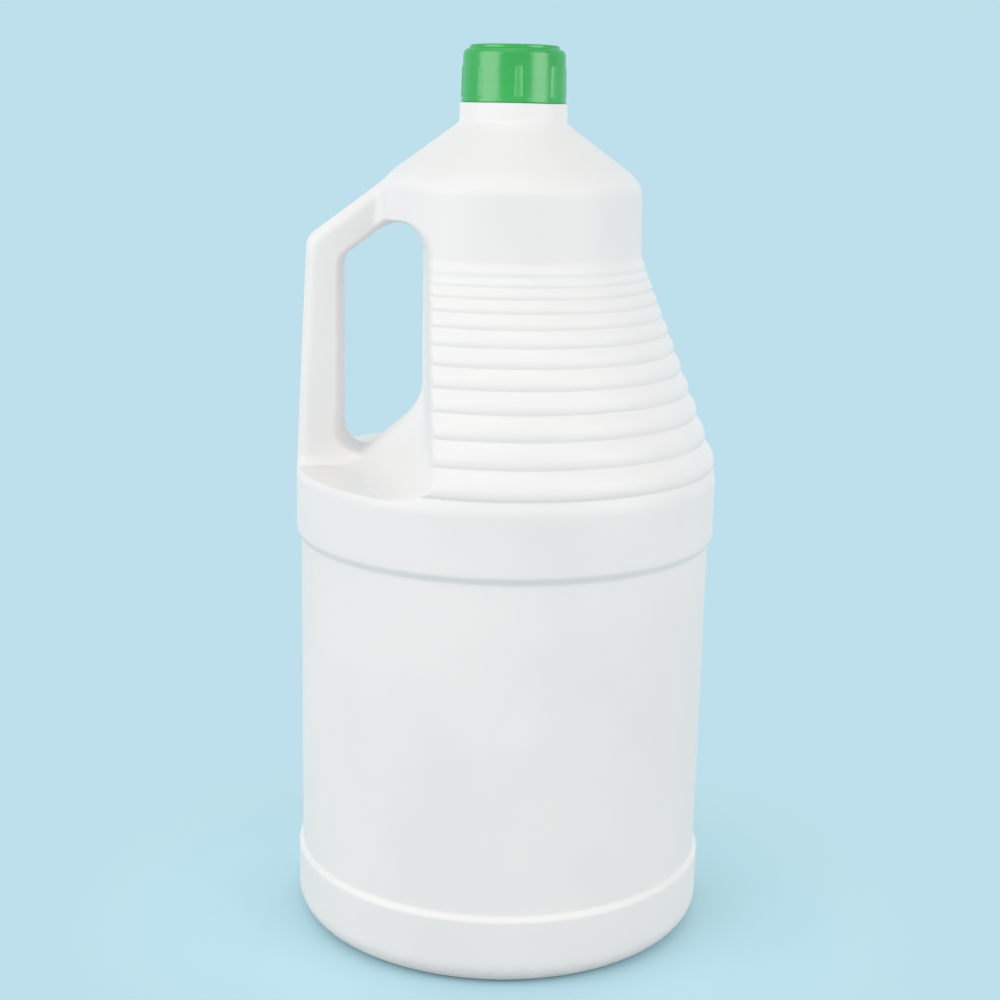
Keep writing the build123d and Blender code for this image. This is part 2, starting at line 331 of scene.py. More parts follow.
base_rows = np.stack([np.array(BASE_RADII), base_height(BASE_RADII)], -1)
round_t = np.linspace(0, np.pi / 2, FOOT_ROWS)[1:]
corner_round = np.stack([np.sin(round_t), -np.cos(round_t)], -1)
corner_middle = np.array([FOOT_RADIUS - FOOT_CORNER, FOOT_CORNER])
side_z = np.unique(np.round(np.concatenate([heights(SIDE_ROWS), rib_rows(ROWS_PER_RIB)]), 3))
inner_z = np.unique(heights(INNER_ROWS))[::-1]
thread_z = heights(THREAD_ROWS)
print("rows on the outside", len(side_z), "and on the inside", len(inner_z))

# %% [markdown]
# The columns of the grid follow the ends of the ribs. With evenly spaced columns the cut ends would
# come out as a staircase, so at every height a few columns are drawn together around the place where
# the recess leaves the round form. On the neck they spread out evenly again.
# %% Columns of the grid
HALF_COLUMNS = 104
WALL_SHARE, END_SHARE = 0.30, 0.42
END_HALF_WIDTH = 3.2
EVEN_FROM, EVEN_RUN = 300, 22


def column_turns(z):
    """Turn from the handle's side: even steps on the wall, fine steps at the rib ends, even beyond."""
    share = np.linspace(0, 1, HALF_COLUMNS + 1)
    middle = rib_end_turn(z)[:, None]
    half = END_HALF_WIDTH / side_radius(np.clip(z, RIB_END_LOW, EVEN_FROM))[:, None]
    on_wall = share / WALL_SHARE * (middle - half)
    at_end = middle + half * (2 * (share - WALL_SHARE) / (END_SHARE - WALL_SHARE) - 1)
    beyond = middle + half + (share - END_SHARE) / (1 - END_SHARE) * (np.pi - middle - half)
    turn = np.where(share < WALL_SHARE, on_wall, np.where(share < END_SHARE, at_end, beyond))
    even = smooth_step((z - EVEN_FROM) / EVEN_RUN)[:, None]
    turn = turn * (1 - even) + np.pi * share * even
    return np.concatenate([turn, -turn[:, -2:0:-1]], 1)


def ring_points(radius, turn, z):
    """Points on rings: the turn runs from the handle's side, at -X, round the Z axis."""
    height = np.broadcast_to(z[:, None], turn.shape)
    return np.stack([-radius * np.cos(turn), -radius * np.sin(turn), height], -1)


print("columns all round", column_turns(side_z).shape[1])

# %% [markdown]
# The neck carries one and a quarter turns of a single-start thread. It could be swept along a helix
# as a piece of its own, but as a ridge in the neck's radius it is part of the same skin, as it is on
# the real can.
# %% Thread on the neck
THREAD_START, THREAD_PITCH, THREAD_TURNS = 341.16, 4.2, 1.25
THREAD_DEPTH, THREAD_ROOT, THREAD_CREST = 1.2, 2.4, 1.2
THREAD_RUN_IN = 0.06


def thread_height(turn, z):
    """Trapezoid ridge about the helix: full height within the crest, falling to 0 at the root."""
    share = np.mod(turn + np.pi, 2 * np.pi) / (2 * np.pi)
    along = np.stack([share, share + 1])
    off = np.abs(z[:, None] - THREAD_START - THREAD_PITCH * along)
    ridge = np.clip((THREAD_ROOT / 2 - off) / ((THREAD_ROOT - THREAD_CREST) / 2), 0, 1)
    ends = np.clip(np.minimum(along, THREAD_TURNS - along) / THREAD_RUN_IN, 0, 1)
    return THREAD_DEPTH * (ridge * ends).max(0)


print("thread rises by", THREAD_PITCH * THREAD_TURNS, "mm")

# %% [markdown]
# Every piece below is a grid of closed rings. Bridging edge loops by hand would do the same for one
# piece, but a function does it for all: quads between neighbouring rings, a fan of triangles over each
# end, and a test of the volume's sign that turns the faces outwards.
# %% Closed pieces from rings
def grid_faces(rows, columns):
    """Quads between neighbouring rows of closed rings, and a fan to a middle point at each end."""
    here = np.arange(rows * columns).reshape(rows, columns)
    beside = np.roll(here, -1, axis=1)
    quads = np.stack([here[:-1], beside[:-1], beside[1:], here[1:]], -1).reshape(-1, 4)
    first, last = np.full(columns, rows * columns), np.full(columns, rows * columns + 1)
    fans = np.concatenate([
        np.stack([first, beside[0], here[0]], -1), np.stack([last, here[-1], beside[-1]], -1)
    ])
    return quads, fans


def signed_volume(points, quads, fans):
    """Sum of the tetrahedra from the origin to every face: positive when the faces point outwards."""
    triangles = np.concatenate([quads[:, :3], quads[:, [0, 2, 3]], fans])
    a, b, c = (points[triangles[:, i]] for i in range(3))
    return np.einsum("ij,ij->i", a, np.cross(b, c)).sum() / 6


def closed_piece(name, rings, body):
    """A closed mesh from rings of points in millimetres, faces turned outwards, riding on a body.

    The middles of its two ends are the last two points.
    """
    quads, fans = grid_faces(*rings.shape[:2])
    points = np.concatenate([rings.reshape(-1, 3), rings[:1].mean(1), rings[-1:].mean(1)])
    volume = signed_volume(points, quads, fans)
    if volume < 0:
        quads, fans = quads[:, ::-1], fans[:, ::-1]
    mesh = bpy.data.meshes.new(name)
    mesh.from_pydata(points * MM, [], quads.tolist() + fans.tolist())
    mesh.shade_smooth()
    piece = placed(name, mesh)
    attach(piece, body)
    print(name, "has", 2 * len(quads) + len(fans), "triangles and", round(abs(volume) / 1000, 1), "ml")
    return piece


print("two rings of four points make", len(grid_faces(2, 4)[0]), "quads")

# %% [markdown]
# Now the rows and columns become one closed skin: base, foot, side with its recess, collar, threaded
# neck, rim, and the inside back down to the base. Every block of rows is worked out as a whole array.
# %% The skin of the can
def turned_block(rows):
    """A block of plain rings from pairs of radius and height."""
    return ring_points(rows[:, :1], column_turns(rows[:, 1]), rows[:, 1])


def skin_block(z, inset):
    """A block of rings of the skin with its recess."""
    turn = column_turns(z)
    return ring_points(skin_radius(turn, z[:, None], inset), turn, z)


def thread_block(z):
    """A block of rings of the threaded neck."""
    turn = column_turns(z)
    return ring_points(NECK_RADIUS + thread_height(turn, z), turn, z)


can_rings = np.concatenate([
    turned_block(base_rows),
    turned_block(corner_middle + corner_round * FOOT_CORNER),
    skin_block(side_z, 0.0),
    turned_block(collar_rows),
    thread_block(thread_z),
    turned_block(rim_rows),
    skin_block(inner_z, WALL),
    turned_block(corner_middle + corner_round[::-1] * (FOOT_CORNER - WALL)),
    turned_block(base_rows[::-1] + [0, WALL]),
])
can_skin = closed_piece("can_skin", can_rings, "can")
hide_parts("bottle_body")

# %% [markdown]
# The handle is a bar that leaves the shoulder, bends down and runs into the top of the band. A curve
# with a bevel would give it one round section all the way. The real one is a rounded rectangle that
# changes in width, so its section is written once for any width, depth and edge.
# %% Section of the bar
EDGE_COLUMNS, FLAT_COLUMNS = 7, 7


def bar_section():
    """Once round a rounded rectangle, eight numbers a column, straight between the rounded corners.

    They are the side across and the side in depth, then what the outer and the inner edge's radius
    adds to each of these, then the cosine and sine of the way the wall faces.
    """
    quarter = np.linspace(0, np.pi / 2, EDGE_COLUMNS)
    flat = np.linspace(0, 1, FLAT_COLUMNS + 2)[1:-1, None]
    corners = []
    for number, (side, deep) in enumerate(((1, 1), (-1, 1), (-1, -1), (1, -1))):
        cos, sin = np.cos(quarter + number * np.pi / 2), np.sin(quarter + number * np.pi / 2)
        outer, one = side > 0, np.ones(EDGE_COLUMNS)
        corners.append(np.stack([
            side * one, deep * one, outer * (cos - side), outer * (sin - deep),
            (not outer) * (cos - side), (not outer) * (sin - deep), cos, sin,
        ], -1))
    return np.concatenate([
        np.concatenate([arc, arc[-1] + flat * (following[0] - arc[-1])])
        for arc, following in zip(corners, corners[1:] + corners[:1])
    ]).T


print("section of the bar has", bar_section().shape[1], "columns")

# %% [markdown]
# The bar's outer and inner edge are two lines, and the section is carried between them. At the foot
# the inner line turns in under the eye and makes the round bottom that the lowest finger rests on.
# Each corner of the lines is a share of the path, then X and Z.
# %% The bar between its two lines
BAR_OUTER = [(0.0, -38.0, 313.6), (0.36, -80.8, 281.6), (1.0, -85.3, 187.0)]
BAR_INNER = [(0.0, -38.0, 296.0), (0.36, -67.2, 273.5), (0.833, -67.2, 203.4),
             (0.878, -63.8, 197.6), (0.924, -57.5, 195.5), (1.0, -46.0, 194.5)]
BAR_BEND, BEND_SAMPLES = 0.026, 15
BAR_HALF_DEPTH, BAR_EDGE_OUTER = 12.0, 5.0
BAR_EDGE_SHARES, BAR_EDGE_INNER = [0.78, 0.88], [2.2, 6.0]


def eased_line(corners, share):
    """A line through X and Z at given shares, averaged over a short span so that it has no corners."""
    shares, *lines = np.array(corners).T
    return np.stack([
        averaged(lambda at: np.interp(at, shares, line), share, BAR_BEND, BEND_SAMPLES) for line in lines
    ], -1)


def bar_wall(share):
    """Points on the bar's wall and its outward directions, for a share of the path in each column."""
    side, deep, outer_a, outer_b, inner_a, inner_b, cos, sin = bar_section()
    edge = np.interp(share, BAR_EDGE_SHARES, BAR_EDGE_INNER)
    outer, inner = eased_line(BAR_OUTER, share), eased_line(BAR_INNER, share)
    across = (outer - inner) / 2
    half = np.linalg.norm(across, axis=-1)
    unit = across / half[..., None]
    along = side * half + BAR_EDGE_OUTER * outer_a + edge * inner_a
    depth = deep * BAR_HALF_DEPTH + BAR_EDGE_OUTER * outer_b + edge * inner_b
    flat = (outer + inner) / 2 + unit * along[..., None]
    outward = unit * cos[:, None]
    return (np.stack([flat[..., 0], depth, flat[..., 1]], -1),
            np.stack([outward[..., 0], sin + 0 * half, outward[..., 1]], -1))


print("bar is", round(np.ptp(bar_wall(np.array([[0.6]]))[0][..., 1]), 1), "mm deep")

# %% [markdown]
# To let the bar flow into the skin, the distance from the skin has to be known. A shrinkwrap modifier
# could find it on the mesh. Here the skin is a formula, so its gap and its slope give the distance,
# and a few steps along the slope bring any nearby point down onto the skin.
# %% Distance from the skin
PROBE = 0.2
LANDING_STEPS, LANDING_PACE = 12, 0.7


def off_skin(points):
    """Distance from the skin, as the gap in radius over its slope, and the skin's outward normal."""
    def gap(at):
        x, y, z = np.moveaxis(at, -1, 0)
        return np.hypot(x, y) - skin_radius(np.arctan2(-y, -x), z, 0.0)

    slope = np.stack([
        (gap(points + step) - gap(points - step)) / (2 * PROBE) for step in PROBE * np.eye(3)
    ], -1)
    steep = np.linalg.norm(slope, axis=-1)
    return gap(points) / steep, slope / steep[..., None]


def landed(points):
    """Points moved along the skin's normal, in short steps, until they lie on it, and the normals."""
    for _ in range(LANDING_STEPS):
        distance, normal = off_skin(points)
        points = points - LANDING_PACE * distance[:, None] * normal
    return points, normal


beside_panel = np.array([[0.0, -PANEL_RADIUS - 3.0, 100.0]])
print("a point 3 mm off the panel is", round(float(off_skin(beside_panel)[0][0]), 3), "mm from the skin")

# %% [markdown]
# On the real can the bar isn't stuck on: the skin flows out into it. To copy that, every line along
# the bar is followed to the place where it meets the skin. Round that corner it is bent into a short
# parabola, which leaves the bar along its wall and lands flat on the skin. A boolean with a bevel
# would need a clean edge there, and the ribs and the recess leave none.
# %% Blends from the bar to the skin
BLEND_SINK, BLEND_STEEP, BLEND_SHIFT = 0.08, -0.25, 0.45
BLEND_ROWS, HIDDEN_DEPTH = 16, 1.4
SHARE_STEP, TINY = 0.01, 1e-6


def blend_rows(share, direction, length):
    """Parabolas from the bar, a length before it meets the skin, to the skin a length to the side.

    The middle point of each is where the bar's line meets the plane that touches the skin at the end.
    """
    corner, outward = bar_wall(share)
    ahead = bar_wall(share + direction * SHARE_STEP)[0] - corner
    run = np.linalg.norm(ahead, axis=-1)
    start_share = share - direction * SHARE_STEP * length / run
    start = bar_wall(start_share)[0]
    normal = off_skin(corner)[1]
    beside = outward - (outward * normal).sum(-1, keepdims=True) * normal
    beside /= np.maximum(np.linalg.norm(beside, axis=-1, keepdims=True), TINY)
    end, normal = landed(corner + length[:, None] * beside)
    end = end - BLEND_SINK * normal
    ahead = ahead / run[:, None]
    facing = np.minimum((ahead * normal).sum(-1), BLEND_STEEP)
    shift = ((end - corner) * normal).sum(-1) / facing
    bend = corner + np.clip(shift, -BLEND_SHIFT * length, BLEND_SHIFT * length)[:, None] * ahead
    t = np.linspace(0, 1, BLEND_ROWS)[1:, None, None]
    curve = (1 - t) ** 2 * start + 2 * t * (1 - t) * bend + t**2 * end
    return np.concatenate([curve, (end - HIDDEN_DEPTH * normal)[None]]), start_share


print("each blend has", BLEND_ROWS, "rows, the last of them inside the skin")

# %% [markdown]
# The handle is then one closed piece: a blend on the shoulder, the bar, and a blend on the ledge. One
# length for all of a blend would fill the corner of the eye or leave the outside hard, so the lengths
# are given for four ways of facing, from the outside to the inside of the bar.
# %% The handle
INWARD = [-1.0, -0.5, 0.5, 1.0]
BLEND_TOP, BLEND_FOOT = [5.0, 5.0, 6.0, 8.0], [2.5, 4.0, 4.0, 3.0]
BAR_SAMPLES, BAR_ROWS = 1500, 100


def bar_rings():
    """Blend on the shoulder, bar, and blend on the ledge, as rows of one closed grid."""
    samples = np.linspace(0, 1, BAR_SAMPLES)[:, None]
    side, cos = bar_section()[[0, 6]]
    inside = off_skin(bar_wall(samples + 0 * cos)[0])[0] < 0
    top = np.where(inside & (samples < 0.5), samples, 0).max(0)
    foot = np.where(inside & (samples >= 0.5), samples, 1).min(0)
    inward = -(side + cos) / 2
    top_rows, start = blend_rows(top, -1, np.interp(inward, INWARD, BLEND_TOP))
    foot_rows, end = blend_rows(foot, 1, np.interp(inward, INWARD, BLEND_FOOT))
    t = np.linspace(0, 1, BAR_ROWS)[:, None]
    middle = bar_wall(start + (end - start) * t)[0]
    print("bar meets the skin from", np.round(bar_wall(foot)[0][:, 2].min(), 1), "mm up")
    return np.concatenate([top_rows[::-1], middle, foot_rows])


handle_bar = closed_piece("handle_bar", bar_rings(), "can")

# %% [markdown]
# Where the mould closed on the hot tube of plastic, a thin weld runs across the hollow under the
# base. It could be a stretched cube with a bevel. Here it is a low ridge, an ellipse carried along a
# straight path and drawn in at both ends.
# %% The pinch weld
WELD_HALF_LENGTH, WELD_HALF_WIDTH, WELD_HEIGHT = 53.0, 0.8, 0.8
WELD_STATIONS, WELD_SIDES = 24, 12
WELD_END, WELD_BLUNT = 0.999, 8


def weld_rings():
    """Ellipses along X under the hollow, with the size of the root of 1 - t^8, so the ends are blunt."""
    t = np.sin(np.linspace(-np.pi / 2, np.pi / 2, WELD_STATIONS))[:, None] * WELD_END
    size = np.sqrt(1 - t**WELD_BLUNT)
    turn = np.linspace(0, 2 * np.pi, WELD_SIDES, endpoint=False)
    x = np.broadcast_to(WELD_HALF_LENGTH * t, (WELD_STATIONS, WELD_SIDES))
    y = WELD_HALF_WIDTH * size * np.cos(turn)
    z = PUSH_UP + WELD_HEIGHT * size * np.sin(turn)
    return np.stack([x, y, z], -1)


pinch_weld = closed_piece("pinch_weld", weld_rings(), "can")

# %% [markdown]
# The cap is a short green cup with a raised rim on top, eight grip ribs, a bead round its foot and a
# thread inside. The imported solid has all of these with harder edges. Here the cap is turned again from
# a profile with eased corners, and the ribs are added to the wall's radius, so that their sides and
# round tops catch the light softly.
# %% Grip ribs and wall of the cap
CAP_WALL_FOOT, CAP_WALL_HEAD, CAP_WALL_RADIUS, CAP_DRAFT = 336.5, 352.2, 20.35, 0.3
GRIP_COUNT, GRIP_TURN, GRIP_HEIGHT = 8, math.radians(4.5), 0.32
GRIP_HALF_FOOT, GRIP_HALF_HEAD, GRIP_SIDE, GRIP_HEAD = 1.3, 1.1, 0.9, 347.4
SINK_DEPTH, SINK_WIDTH, SINK_FADE_FOOT, SINK_FADE_HEAD = 0.035, 0.75, 1.5, 4.0


def grip_height(turn, z):
    """Height of the ribs: full within a line's half width, with eased sides and a round upper end."""
    step = 2 * np.pi / GRIP_COUNT
    off = np.mod(turn - np.pi / 2 - GRIP_TURN + step / 2, step) - step / 2
    half = np.interp(z, [CAP_WALL_FOOT, GRIP_HEAD], [GRIP_HALF_FOOT, GRIP_HALF_HEAD])
    away = np.hypot(CAP_WALL_RADIUS * off, np.maximum(z - GRIP_HEAD, 0))
    return GRIP_HEIGHT * smooth_step((half + GRIP_SIDE / 2 - away) / GRIP_SIDE)


def cap_wall(turn, z):
    """Radius of the wall: a small draft, the ribs, and a faint hollow that follows the thread inside."""
    z = z[:, None]
    draft = CAP_DRAFT * (z - CAP_WALL_FOOT) / (CAP_WALL_HEAD - CAP_WALL_FOOT)
    wind = np.mod(z - THREAD_START + THREAD_PITCH * (0.5 - turn / (2 * np.pi)), THREAD_PITCH)
    sink = SINK_DEPTH * np.exp(-(((wind - THREAD_PITCH / 2) / SINK_WIDTH) ** 2))
    above, below = (z - CAP_WALL_FOOT) / SINK_FADE_FOOT, (CAP_WALL_HEAD - z) / SINK_FADE_HEAD
    fade = smooth_step(above) * smooth_step(below)
    return CAP_WALL_RADIUS - draft + grip_height(turn, z) - sink * fade


print("ribs on the cap", GRIP_COUNT, "each", round(2 * GRIP_HALF_FOOT, 1), "mm wide")

# %% [markdown]
# The rest of the cap is two more profiles: the top with its rim and sloping shoulder, and the foot
# with the bead and the way back up the inside. The thread inside is the same ridge as on the neck,
# turned inwards and half a pitch lower, so that the two lie between each other.
# %% The cap
CAP_BORE = 18.9
CAP_TOP_CORNERS = [(1.5, 352.01), (15.1, 352.01), (15.4, 356.51), (17.5, 356.51), (17.7, 355.1),
                   (19.35, 354.75), (20.05, 352.9), (20.05, 352.2)]
CAP_TOP_EASES = [0.6, 0.75, 0.75, 0.35, 0.95, 0.5]
CAP_FOOT_CORNERS = [(20.35, 336.5), (20.38, 336.2), (20.6, 335.6), (20.6, 334.65), (CAP_BORE, 334.65),
                    (CAP_BORE, 336.5)]
CAP_FOOT_EASES = [0.2, 0.35, 0.3, 0.3]
CAP_INSIDE_CORNERS = [(CAP_BORE, 347.0), (CAP_BORE, 350.01), (1.5, 350.01)]
CAP_INSIDE_EASES = [0.5]
CAP_COLUMNS, CAP_WALL_ROWS, CAP_BORE_ROWS = 336, 46, [(336.8, 346.8, 34)]
CAP_THREAD_DROP = THREAD_PITCH / 2


def cap_turns(rows):
    """Even turns for a number of rows."""
    return np.tile(np.linspace(-np.pi, np.pi, CAP_COLUMNS, endpoint=False), (rows, 1))


def cap_block(corners, eases):
    """A block of plain rings from an eased profile."""
    rows = eased_corners(corners, eases)
    return ring_points(rows[:, :1], cap_turns(len(rows)), rows[:, 1])


wall_z = np.linspace(CAP_WALL_HEAD, CAP_WALL_FOOT, CAP_WALL_ROWS)[1:-1]
bore_z = heights(CAP_BORE_ROWS)
wall_turns, bore_turns = cap_turns(len(wall_z)), cap_turns(len(bore_z))
cap_rings = np.concatenate([
    cap_block(CAP_TOP_CORNERS, CAP_TOP_EASES),
    ring_points(cap_wall(wall_turns, wall_z), wall_turns, wall_z),
    cap_block(CAP_FOOT_CORNERS, CAP_FOOT_EASES),
    ring_points(CAP_BORE - thread_height(bore_turns, bore_z + CAP_THREAD_DROP), bore_turns, bore_z),
    cap_block(CAP_INSIDE_CORNERS, CAP_INSIDE_EASES),
])
cap_shell = closed_piece("cap_shell", cap_rings, "cap")
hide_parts("screw_cap")

# %% [markdown]
# Fingers rub the grip ribs dull long before the wall between them, and the ribs also get a painted
# highlight, a paler green for the light that their round tops catch. The material needs to know where
# the ribs are. A second material slot would have a hard border, so the height of the ribs, as a share,
# is stored on the mesh as an attribute.
# %% Where the cap is rubbed and has a painted highlight
WEAR_AND_HIGHLIGHT_RADIUS, WEAR_AND_HIGHLIGHT_BELOW = 19.5, 0.4
ring_radius, ring_z = np.hypot(cap_rings[..., 0], cap_rings[..., 1]), cap_rings[..., 2]
ring_turn = np.arctan2(-cap_rings[..., 1], -cap_rings[..., 0])
on_height = (ring_z > CAP_WALL_FOOT - WEAR_AND_HIGHLIGHT_BELOW) & (ring_z < CAP_WALL_HEAD)
on_wall = (ring_radius > WEAR_AND_HIGHLIGHT_RADIUS) & on_height
# One share serves both: the rubbed roughness and the painted highlight on the ribs.
rubbed_and_highlighted = np.where(on_wall, grip_height(ring_turn, ring_z) / GRIP_HEIGHT, 0).ravel()
grip_mask = cap_shell.data.attributes.new("grip", "FLOAT", "POINT")
grip_mask.data.foreach_set("value", np.append(rubbed_and_highlighted, [0, 0]).astype(np.float32))
print("share of the cap that is rubbed", round(float(rubbed_and_highlighted.mean()), 3))

# %% [markdown]
# All three plastics here come out of a steel mould, and share the same small faults: a faint
# cloudiness from uneven cooling and a fine grain from the steel. These are one node group, with the
# scales of both as inputs, placed in each material with its own values.
# %% Shared surface of moulded plastic
def node(tree, kind, **values):
    """A new node of a kind, with attributes or named inputs set from the values."""
    made = tree.nodes.new(kind)
    for name, value in values.items():
        if hasattr(made, name):
            setattr(made, name, value)
        else:
            made.inputs[name.replace("_", " ")].default_value = value
    return made


def join(tree, *links):
    """Links in a node tree, each a pair of an output and an input."""
    for start, end in links:
        tree.links.new(start, end)


moulded = bpy.data.node_groups.new("moulded_surface", "ShaderNodeTree")
for socket, start in (("Cloud Scale", 20.0), ("Grain Scale", 900.0)):
    made = moulded.interface.new_socket(socket, in_out="INPUT", socket_type="NodeSocketFloat")
    made.default_value = start
for socket in ("Cloud", "Grain"):
    moulded.interface.new_socket(socket, in_out="OUTPUT", socket_type="NodeSocketFloat")
group_in = node(moulded, "NodeGroupInput")
group_out = node(moulded, "NodeGroupOutput")
place = node(moulded, "ShaderNodeTexCoord")
cloud = node(moulded, "ShaderNodeTexNoise", Detail=3.0, Roughness=0.55)
grain = node(moulded, "ShaderNodeTexNoise", Detail=2.0, Roughness=0.6)
for texture, socket in ((cloud, "Cloud"), (grain, "Grain")):
    join(
        moulded,
        (place.outputs["Object"], texture.inputs["Vector"]),
        (group_in.outputs[f"{socket} Scale"], texture.inputs["Scale"]),
        (texture.outputs["Fac"], group_out.inputs[socket]),
    )
print("shared surface has", len(moulded.nodes), "nodes")

# %% [markdown]
# A moulded plastic has its colour all the way through, so the colour hardly changes; what the eye
# reads is the sheen. Each material blends two close colours and two close roughnesses by the cloud,
# and lifts the surface a very little by the grain.
# %% A material for moulded plastic
COLOUR_STOPS, SHEEN_FROM, SHEEN_TO = (0.35, 0.65), 0.3, 0.7
GRAIN_RISE = 0.0004
CAP_GLOSS = 1.0


def plastic(name, colours, roughness, cloud_scale, grain_scale, bump):
    """Principled plastic: colour and roughness follow the cloud, and the grain is a small bump."""
    material = bpy.data.materials.new(name)
    material.use_nodes = True
    tree = material.node_tree
    shader = tree.nodes["Principled BSDF"]
    surface = node(tree, "ShaderNodeGroup", node_tree=moulded)
    surface.inputs["Cloud Scale"].default_value = cloud_scale
    surface.inputs["Grain Scale"].default_value = grain_scale
    ramp = node(tree, "ShaderNodeValToRGB")
    for stop, position, colour in zip(ramp.color_ramp.elements, COLOUR_STOPS, colours):
        stop.position, stop.color = position, (*colour, 1)
    spread = node(tree, "ShaderNodeMapRange", From_Min=SHEEN_FROM, From_Max=SHEEN_TO)
    spread.inputs["To Min"].default_value, spread.inputs["To Max"].default_value = roughness
    lift = node(tree, "ShaderNodeBump", Strength=bump, Distance=GRAIN_RISE)
    join(
        tree,
        (surface.outputs["Cloud"], ramp.inputs["Fac"]),
        (surface.outputs["Cloud"], spread.inputs["Value"]),
        (surface.outputs["Grain"], lift.inputs["Height"]),
        (ramp.outputs["Color"], shader.inputs["Base Color"]),
        (spread.outputs["Result"], shader.inputs["Roughness"]),
        (lift.outputs["Normal"], shader.inputs["Normal"]),
    )
    print(name, "has", len(tree.nodes), "nodes")
    return material, shader


white_plastic, white_shader = plastic(
    "white_polyethylene", ((0.81, 0.795, 0.785), (0.84, 0.825, 0.81)), (0.40, 0.50), 14, 700, 0.06
)
green_plastic, green_shader = plastic(
    "green_polypropylene", ((0.012, 0.365, 0.042), (0.018, 0.405, 0.054)), (0.20, 0.27), 60, 900, 0.04
)
foam_plastic, _ = plastic(
    "foamed_liner", ((0.70, 0.70, 0.68), (0.78, 0.78, 0.76)), (0.6, 0.75), 90, 1600, 0.3
)
green_shader.inputs["Specular IOR Level"].default_value = CAP_GLOSS

# %% [markdown]
# The two halves of the mould met in the plane of the handle and left a fine line all round the can.
# It is far thinner than a face of the grid, so it is a bump: a ridge where Y is nearly nought, which
# goes in under the bump of the grain.
# %% Parting line of the can
SEAM_HALF, SEAM_EDGE, SEAM_RISE, SEAM_STRENGTH = 0.0002, 0.0006, 0.00025, 0.5


def source(socket):
    """The output that is linked to an input."""
    return socket.links[0].from_socket


tree = white_plastic.node_tree
place = node(tree, "ShaderNodeTexCoord")
axes = node(tree, "ShaderNodeSeparateXYZ")
off = node(tree, "ShaderNodeMath", operation="ABSOLUTE")
ridge = node(tree, "ShaderNodeMapRange", interpolation_type="SMOOTHSTEP", From_Min=SEAM_HALF,
             From_Max=SEAM_EDGE, To_Min=1.0, To_Max=0.0)
seam = node(tree, "ShaderNodeBump", Strength=SEAM_STRENGTH, Distance=SEAM_RISE)
join(
    tree,
    (place.outputs["Object"], axes.inputs["Vector"]),
    (axes.outputs["Y"], off.inputs[0]),
    (off.outputs["Value"], ridge.inputs["Value"]),
    (ridge.outputs["Result"], seam.inputs["Height"]),
    (seam.outputs["Normal"], source(white_shader.inputs["Normal"]).node.inputs["Normal"]),
)
print("parting line is", round(2000 * SEAM_EDGE, 1), "mm wide")

# %% [markdown]
# On the lowest few millimetres, where the can is pushed about on shelves, the white is scuffed. It
# could be painted, but a coarse noise, let through only near the floor, needs no picture. It makes the
# white greyer and duller there.
# %% Scuffs of the can
SCUFF_FULL, SCUFF_TOP, SCUFF_SCALE = 0.001, 0.012, 160.0
SCUFF_FROM, SCUFF_TO, SCUFF_SHARE, SCUFF_ROUGHNESS = 0.5, 0.7, 0.5, 0.14
SCUFF_COLOUR = (0.66, 0.65, 0.64)


def colour_mix(tree):
    """Factor, two colours and result of a new node that mixes colours.

    They are taken by number, because a Mix node has several sockets of each name.
    """
    mix = node(tree, "ShaderNodeMix", data_type="RGBA")
    return mix.inputs[0], mix.inputs[6], mix.inputs[7], mix.outputs[2]


low = node(tree, "ShaderNodeMapRange", From_Min=SCUFF_FULL, From_Max=SCUFF_TOP, To_Min=1.0, To_Max=0.0)
marks = node(tree, "ShaderNodeTexNoise", Scale=SCUFF_SCALE, Detail=4.0, Roughness=0.7)
patches = node(tree, "ShaderNodeMapRange", From_Min=SCUFF_FROM, From_Max=SCUFF_TO, To_Max=SCUFF_SHARE)
scuffs = node(tree, "ShaderNodeMath", operation="MULTIPLY")
rougher = node(tree, "ShaderNodeMath", operation="MULTIPLY_ADD")
rougher.inputs[1].default_value = SCUFF_ROUGHNESS
grey_factor, grey_first, grey_second, greyer = colour_mix(tree)
grey_second.default_value = (*SCUFF_COLOUR, 1)
join(
    tree,
    (place.outputs["Object"], marks.inputs["Vector"]),
    (axes.outputs["Z"], low.inputs["Value"]),
    (marks.outputs["Fac"], patches.inputs["Value"]),
    (low.outputs["Result"], scuffs.inputs[0]),
    (patches.outputs["Result"], scuffs.inputs[1]),
    (scuffs.outputs["Value"], grey_factor),
    (scuffs.outputs["Value"], rougher.inputs[0]),
    (source(white_shader.inputs["Base Color"]), grey_first),
    (source(white_shader.inputs["Roughness"]), rougher.inputs[2]),
    (greyer, white_shader.inputs["Base Color"]),
    (rougher.outputs["Value"], white_shader.inputs["Roughness"]),
)
print("white plastic has", len(tree.nodes), "nodes")

# %% [markdown]
# On the cap the ribs are duller than the wall where fingers rub them, and paler by a painted
# highlight that stands in for the light their round tops catch, both by the share that was stored on
# its mesh. Painted vertex colours would do as well, but with a share the colour stays in the material.
# %% Rubbed ribs of the cap, with a painted highlight
# The paler green on the ribs is a painted highlight; the added roughness is the rubbing.
RIB_HIGHLIGHT_COLOUR, RIB_HIGHLIGHT_SHARE, RUBBED_ROUGHNESS = (0.050, 0.46, 0.095), 0.6, 0.22
tree = green_plastic.node_tree
grip = node(tree, "ShaderNodeAttribute", attribute_name="grip")
fade = node(tree, "ShaderNodeMath", operation="MULTIPLY")
duller = node(tree, "ShaderNodeMath", operation="MULTIPLY_ADD")
fade.inputs[1].default_value, duller.inputs[1].default_value = RIB_HIGHLIGHT_SHARE, RUBBED_ROUGHNESS
